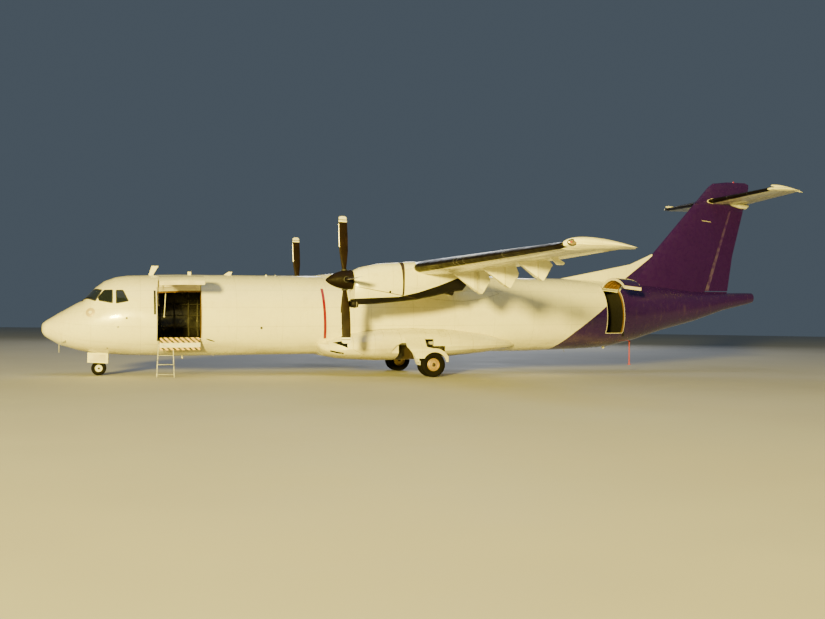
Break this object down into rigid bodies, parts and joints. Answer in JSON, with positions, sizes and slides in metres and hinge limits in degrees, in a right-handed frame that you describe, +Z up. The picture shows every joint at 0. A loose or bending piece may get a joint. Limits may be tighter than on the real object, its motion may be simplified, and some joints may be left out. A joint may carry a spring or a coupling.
{
  "type": "turboprop airliner",
  "caption": "High-wing freighter aeroplane with two turboprop engines, a T-shaped tail, a raised cargo door and a hollow hold.",
  "frame": {"origin": "on the ground, in the middle of the length and of the span", "axes": "+X from nose to tail, +Z up, -Y is port"},
  "size_m": [27.1069, 27.05, 7.6905],
  "materials": {
    "hull_paint": "gloss white paint",
    "wing_paint": "gloss white paint",
    "composite_paint": "gloss white paint on composite skin",
    "tail_paint": "gloss purple paint",
    "cowl_black": "satin black paint",
    "cockpit_glass": "dark glazing",
    "cockpit_trim": "matt grey",
    "hold_lining": "matt cream lining",
    "propeller_dark": "satin near-black paint",
    "spinner_dark": "satin near-black paint",
    "engine_metal": "bare metal",
    "gear_steel": "satin white paint",
    "wheel_rim": "satin paint",
    "tyre_rubber": "matt black rubber",
    "guard_paint": "yellow and black hazard paint",
    "ladder_metal": "worn metal",
    "pole_paint": "red paint"
  },
  "bodies": {
    "airframe": {"nose_shell": "hull_paint", "cockpit_glazing": "cockpit_glass", "pilot_seats_and_floor": "cockpit_trim", "instrument_panel": "cockpit_trim", "cockpit_bulkhead": "hold_lining", "fuselage_forward": "hull_paint", "fuselage_centre": "hull_paint", "fuselage_aft": "hull_paint", "hold_floor": "hold_lining", "tail_cone": "tail_paint", "belly_fairing": "composite_paint", "wing_fairing": "composite_paint", "wing_centre": "wing_paint", "dorsal_fin": "composite_paint", "fin": "tail_paint", "tailplane": "composite_paint", "nose_leg": "gear_steel", "sill_guard": "guard_paint", "ladder": "ladder_metal", "tail_pole": "pole_paint", "wing_left": "wing_paint", "upper_cowl_left": "composite_paint", "lower_cowl_left": "cowl_black", "engine_left": "engine_metal", "main_leg_left": "gear_steel", "gear_door_left": "hull_paint", "nose_door_left": "hull_paint", "wing_right": "wing_paint", "upper_cowl_right": "composite_paint", "lower_cowl_right": "cowl_black", "engine_right": "engine_metal", "main_leg_right": "gear_steel", "gear_door_right": "hull_paint", "nose_door_right": "hull_paint"},
    "rudder": {"rudder": "tail_paint"},
    "propeller_left": {"propeller_left": "propeller_dark", "spinner_left": "spinner_dark"},
    "propeller_right": {"propeller_right": "propeller_dark", "spinner_right": "spinner_dark"},
    "nose_steering": {"nose_fork": "gear_steel"},
    "nose_wheel_set": {"nose_wheels": "wheel_rim", "nose_tyre_left": "tyre_rubber", "nose_tyre_right": "tyre_rubber"},
    "cargo_door": {"cargo_door": "hull_paint"},
    "rear_door": {"rear_door": "hull_paint"},
    "main_wheel_set_left": {"main_wheels_left": "wheel_rim", "outer_tyre_left": "tyre_rubber", "inner_tyre_left": "tyre_rubber"},
    "elevator_left": {"elevator_left": "composite_paint"},
    "aileron_left": {"aileron_left": "composite_paint"},
    "outer_flap_left": {"outer_flap_left": "composite_paint"},
    "inner_flap_left": {"inner_flap_left": "composite_paint"},
    "main_wheel_set_right": {"main_wheels_right": "wheel_rim", "outer_tyre_right": "tyre_rubber", "inner_tyre_right": "tyre_rubber"},
    "elevator_right": {"elevator_right": "composite_paint"},
    "aileron_right": {"aileron_right": "composite_paint"},
    "outer_flap_right": {"outer_flap_right": "composite_paint"},
    "inner_flap_right": {"inner_flap_right": "composite_paint"}
  },
  "joints": [
    {"name": "propeller_left_spin", "type": "hinge", "parent": "airframe", "child": "propeller_left", "pos_m": [-4.52305, -4.05, 3.15479], "axis": [0.9991, 0, 0.0424], "continuous": true},
    {"name": "main_wheels_left_spin", "type": "hinge", "parent": "airframe", "child": "main_wheel_set_left", "pos_m": [-0.983, -2.05, 0.425], "axis": [0, 1, 0], "continuous": true},
    {"name": "propeller_right_spin", "type": "hinge", "parent": "airframe", "child": "propeller_right", "pos_m": [-4.52305, 4.05, 3.15479], "axis": [0.9991, 0, 0.0424], "continuous": true},
    {"name": "main_wheels_right_spin", "type": "hinge", "parent": "airframe", "child": "main_wheel_set_right", "pos_m": [-0.983, 2.05, 0.425], "axis": [0, 1, 0], "continuous": true},
    {"name": "nose_steering", "type": "hinge", "parent": "airframe", "child": "nose_steering", "pos_m": [-11.808, 0, 0.6], "axis": [0, 0, 1], "range_deg": [-60, 60]},
    {"name": "nose_wheels_spin", "type": "hinge", "parent": "nose_steering", "child": "nose_wheel_set", "pos_m": [-11.808, 0, 0.235], "axis": [0, 1, 0], "continuous": true},
    {"name": "cargo_door_hinge", "type": "hinge", "parent": "airframe", "child": "cargo_door", "pos_m": [-9.34556, -1.08697, 2.86305], "axis": [0.9999, 0, 0.0157], "range_deg": [0, 92]},
    {"name": "rear_door_hinge", "type": "hinge", "parent": "airframe", "child": "rear_door", "pos_m": [6.50786, -0.83335, 3.24698], "axis": [0.9999, 0, 0.0157], "range_deg": [0, 78]},
    {"name": "rudder_hinge", "type": "hinge", "parent": "airframe", "child": "rudder", "pos_m": [11.22261, 0, 3.30001], "axis": [0.3285, 0, 0.9445], "range_deg": [-27, 27]},
    {"name": "elevator_left_hinge", "type": "hinge", "parent": "airframe", "child": "elevator_left", "pos_m": [12.55652, -0.34, 6.87471], "axis": [0.026, 0.9995, -0.02], "range_deg": [-23, 13]},
    {"name": "elevator_right_hinge", "type": "hinge", "parent": "airframe", "child": "elevator_right", "pos_m": [12.55652, 0.34, 6.87471], "axis": [-0.026, 0.9995, 0.02], "range_deg": [-23, 13]},
    {"name": "aileron_left_hinge", "type": "hinge", "parent": "airframe", "child": "aileron_left", "pos_m": [-0.5801, -10.01, 3.6212], "axis": [0.0004, 1, -0.0076], "range_deg": [-14, 14]},
    {"name": "aileron_right_hinge", "type": "hinge", "parent": "airframe", "child": "aileron_right", "pos_m": [-0.5801, 10.01, 3.6212], "axis": [-0.0004, 1, 0.0076], "range_deg": [-14, 14]},
    {"name": "outer_flap_left_hinge", "type": "hinge", "parent": "airframe", "child": "outer_flap_left", "pos_m": [-0.6227, -5.3, 2.8604], "axis": [-0.0011, 0.9985, -0.0544], "range_deg": [0, 30]},
    {"name": "inner_flap_left_hinge", "type": "hinge", "parent": "airframe", "child": "inner_flap_left", "pos_m": [-0.62396, -2.45, 2.86117], "axis": [0, 1, 0], "range_deg": [0, 30]},
    {"name": "outer_flap_right_hinge", "type": "hinge", "parent": "airframe", "child": "outer_flap_right", "pos_m": [-0.6227, 5.3, 2.8604], "axis": [0.0011, 0.9985, 0.0544], "range_deg": [0, 30]},
    {"name": "inner_flap_right_hinge", "type": "hinge", "parent": "airframe", "child": "inner_flap_right", "pos_m": [-0.62396, 2.45, 2.86117], "axis": [0, 1, 0], "range_deg": [0, 30]}
  ],
  "couplings": [
    {"joint": "elevator_right_hinge", "follows": "elevator_left_hinge", "ratio": 1},
    {"joint": "aileron_right_hinge", "follows": "aileron_left_hinge", "ratio": -1},
    {"joint": "inner_flap_left_hinge", "follows": "outer_flap_left_hinge", "ratio": 1},
    {"joint": "outer_flap_right_hinge", "follows": "outer_flap_left_hinge", "ratio": 1},
    {"joint": "inner_flap_right_hinge", "follows": "outer_flap_left_hinge", "ratio": 1}
  ]
}
